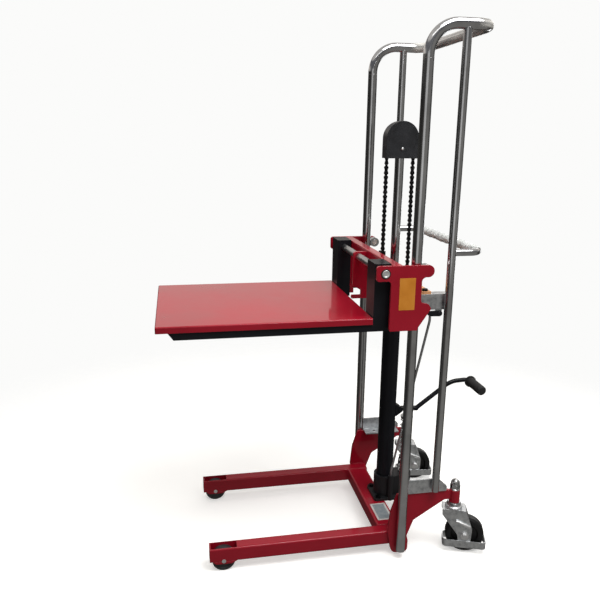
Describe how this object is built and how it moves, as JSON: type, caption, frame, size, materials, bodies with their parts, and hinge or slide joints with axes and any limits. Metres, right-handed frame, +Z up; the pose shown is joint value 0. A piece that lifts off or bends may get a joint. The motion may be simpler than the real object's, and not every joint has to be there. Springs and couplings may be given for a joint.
{
  "type": "mini stacker",
  "caption": "Hand-pushed mini stacker with a red load platform on forks, a chrome tube mast, a foot-pumped ram, a leaf chain lift and swivel casters.",
  "frame": {"origin": "on the floor, on the mid plane between the two mast posts, half way between the platform's front edge and the back of the pedal", "axes": "+Z up, -Y to the front (platform and legs), +Y to the operator, +X to the operator's left"},
  "size_m": [0.6031, 1.134, 1.7198],
  "materials": {
    "red_paint": "gloss red enamel",
    "black_paint": "satin black enamel",
    "chrome": "bright chrome plate",
    "zinc": "bright zinc plate",
    "primer": "tan primer",
    "steel": "bare bright steel",
    "chain_steel": "oiled dark steel",
    "cast_iron": "black painted casting",
    "cover_plastic": "black moulded plastic",
    "grip_rubber": "black rubber",
    "wheel_nylon": "black nylon",
    "roller_nylon": "dark grey nylon",
    "film": "clear packing film"
  },
  "bodies": {
    "frame": {"leg_left": "red_paint", "leg_right": "red_paint", "load_axles": "steel", "cross_beam": "red_paint", "gusset_left": "red_paint", "gusset_right": "red_paint", "caster_stems": "chrome", "front_post_left": "chrome", "front_post_right": "chrome", "rear_post_left": "chrome", "rear_post_right": "chrome", "top_loop": "chrome", "lower_brackets": "zinc", "mid_brackets": "zinc", "mid_cross_plate": "primer", "push_handle": "chrome", "packing_wraps": "film", "frame_bolts": "zinc", "pump_block": "cast_iron", "cylinder_tube": "black_paint", "cylinder_gland": "steel", "pedal_lug": "black_paint", "chain_anchor_rear": "zinc", "chain_rear_run": "chain_steel", "return_spring": "steel"},
    "ram": {"ram_rod": "chrome", "sheave_yoke": "steel", "sheave_axle": "steel", "chain_cover": "cover_plastic", "chain_wrap": "chain_steel"},
    "sheave": {"chain_sheave": "steel"},
    "carriage": {"carriage_plate_left": "red_paint", "carriage_plate_right": "red_paint", "carriage_top_bar": "red_paint", "carriage_rib": "red_paint", "heel_stops": "red_paint", "fork_shaft": "steel", "fork_left": "black_paint", "fork_right": "black_paint", "platform": "red_paint", "roller_pins": "steel", "chain_anchor_front": "zinc", "chain_front_run": "chain_steel"},
    "pedal": {"pedal_lever": "black_paint", "pedal_grip": "grip_rubber"},
    "plunger": {"pump_plunger": "steel"},
    "release_lever": {"release_lever": "black_paint"},
    "release_rod": {"release_rod": "black_paint"},
    "upper_roller_left": {"upper_roller_left": "chrome"},
    "lower_roller_left": {"lower_roller_left": "chrome"},
    "load_roller_left": {"load_roller_left": "roller_nylon"},
    "caster_left": {"caster_fork_left": "zinc", "caster_axle_left": "zinc"},
    "caster_wheel_left": {"caster_wheel_left": "wheel_nylon"},
    "upper_roller_right": {"upper_roller_right": "chrome"},
    "lower_roller_right": {"lower_roller_right": "chrome"},
    "load_roller_right": {"load_roller_right": "roller_nylon"},
    "caster_right": {"caster_fork_right": "zinc", "caster_axle_right": "zinc"},
    "caster_wheel_right": {"caster_wheel_right": "wheel_nylon"}
  },
  "joints": [
    {"name": "ram_lift", "type": "slide", "parent": "frame", "child": "ram", "axis": [0, 0, 1], "range_m": [-0.362, 0.28], "deforming": ["chain_rear_run"]},
    {"name": "carriage_lift", "type": "slide", "parent": "ram", "child": "carriage", "axis": [0, 0, 1], "range_m": [-0.362, 0.28], "deforming": ["chain_front_run"]},
    {"name": "sheave_turn", "type": "hinge", "parent": "ram", "child": "sheave", "pos_m": [0, 0.24, 1.387], "axis": [1, 0, 0], "continuous": true},
    {"name": "upper_roller_left_turn", "type": "hinge", "parent": "carriage", "child": "upper_roller_left", "pos_m": [0.265, 0.2458, 1.0015], "axis": [1, 0, 0], "continuous": true},
    {"name": "lower_roller_left_turn", "type": "hinge", "parent": "carriage", "child": "lower_roller_left", "pos_m": [0.265, 0.1862, 0.85], "axis": [1, 0, 0], "continuous": true},
    {"name": "upper_roller_right_turn", "type": "hinge", "parent": "carriage", "child": "upper_roller_right", "pos_m": [-0.265, 0.2458, 1.0015], "axis": [1, 0, 0], "continuous": true},
    {"name": "lower_roller_right_turn", "type": "hinge", "parent": "carriage", "child": "lower_roller_right", "pos_m": [-0.265, 0.1862, 0.85], "axis": [1, 0, 0], "continuous": true},
    {"name": "load_roller_left_turn", "type": "hinge", "parent": "frame", "child": "load_roller_left", "pos_m": [0.2168, -0.38, 0.0375], "axis": [1, 0, 0], "continuous": true},
    {"name": "load_roller_right_turn", "type": "hinge", "parent": "frame", "child": "load_roller_right", "pos_m": [-0.2168, -0.38, 0.0375], "axis": [1, 0, 0], "continuous": true},
    {"name": "caster_left_swivel", "type": "hinge", "parent": "frame", "child": "caster_left", "pos_m": [0.2438, 0.41, 0.16], "axis": [0, 0, 1], "continuous": true},
    {"name": "caster_wheel_left_turn", "type": "hinge", "parent": "caster_left", "child": "caster_wheel_left", "pos_m": [0.25816, 0.44947, 0.065], "axis": [0.9397, -0.342, 0], "continuous": true},
    {"name": "caster_right_swivel", "type": "hinge", "parent": "frame", "child": "caster_right", "pos_m": [-0.2438, 0.41, 0.16], "axis": [0, 0, 1], "continuous": true},
    {"name": "caster_wheel_right_turn", "type": "hinge", "parent": "caster_right", "child": "caster_wheel_right", "pos_m": [-0.23795, 0.45159, 0.065], "axis": [0.9903, -0.1392, 0], "continuous": true},
    {"name": "pedal_press", "type": "hinge", "parent": "frame", "child": "pedal", "pos_m": [0, 0.282, 0.426], "axis": [-1, 0, 0], "range_deg": [0, 30], "stiffness_Nm_per_rad": 3, "springref_deg": -45.84},
    {"name": "pump_stroke", "type": "slide", "parent": "frame", "child": "plunger", "axis": [0, 0, -1], "range_m": [0, 0.018], "deforming": ["return_spring"]},
    {"name": "release_push", "type": "slide", "parent": "frame", "child": "release_rod", "axis": [0, 0, -1], "range_m": [0, 0.01045], "stiffness_N_per_m": 400, "springref_m": -0.02},
    {"name": "release_press", "type": "hinge", "parent": "frame", "child": "release_lever", "pos_m": [0.2567, 0.303, 0.858], "axis": [1, 0, 0], "range_deg": [0, 20]}
  ],
  "couplings": [
    {"joint": "carriage_lift", "follows": "ram_lift", "ratio": 1},
    {"joint": "sheave_turn", "follows": "ram_lift", "rad_per_m": -21.877},
    {"joint": "pump_stroke", "follows": "pedal_press", "m_per_rad": 0.034},
    {"joint": "release_press", "follows": "release_push", "rad_per_m": 33.333},
    {"joint": "upper_roller_left_turn", "follows": "ram_lift", "rad_per_m": 148.15},
    {"joint": "lower_roller_left_turn", "follows": "ram_lift", "rad_per_m": -148.15},
    {"joint": "upper_roller_right_turn", "follows": "ram_lift", "rad_per_m": 148.15},
    {"joint": "lower_roller_right_turn", "follows": "ram_lift", "rad_per_m": -148.15}
  ]
}
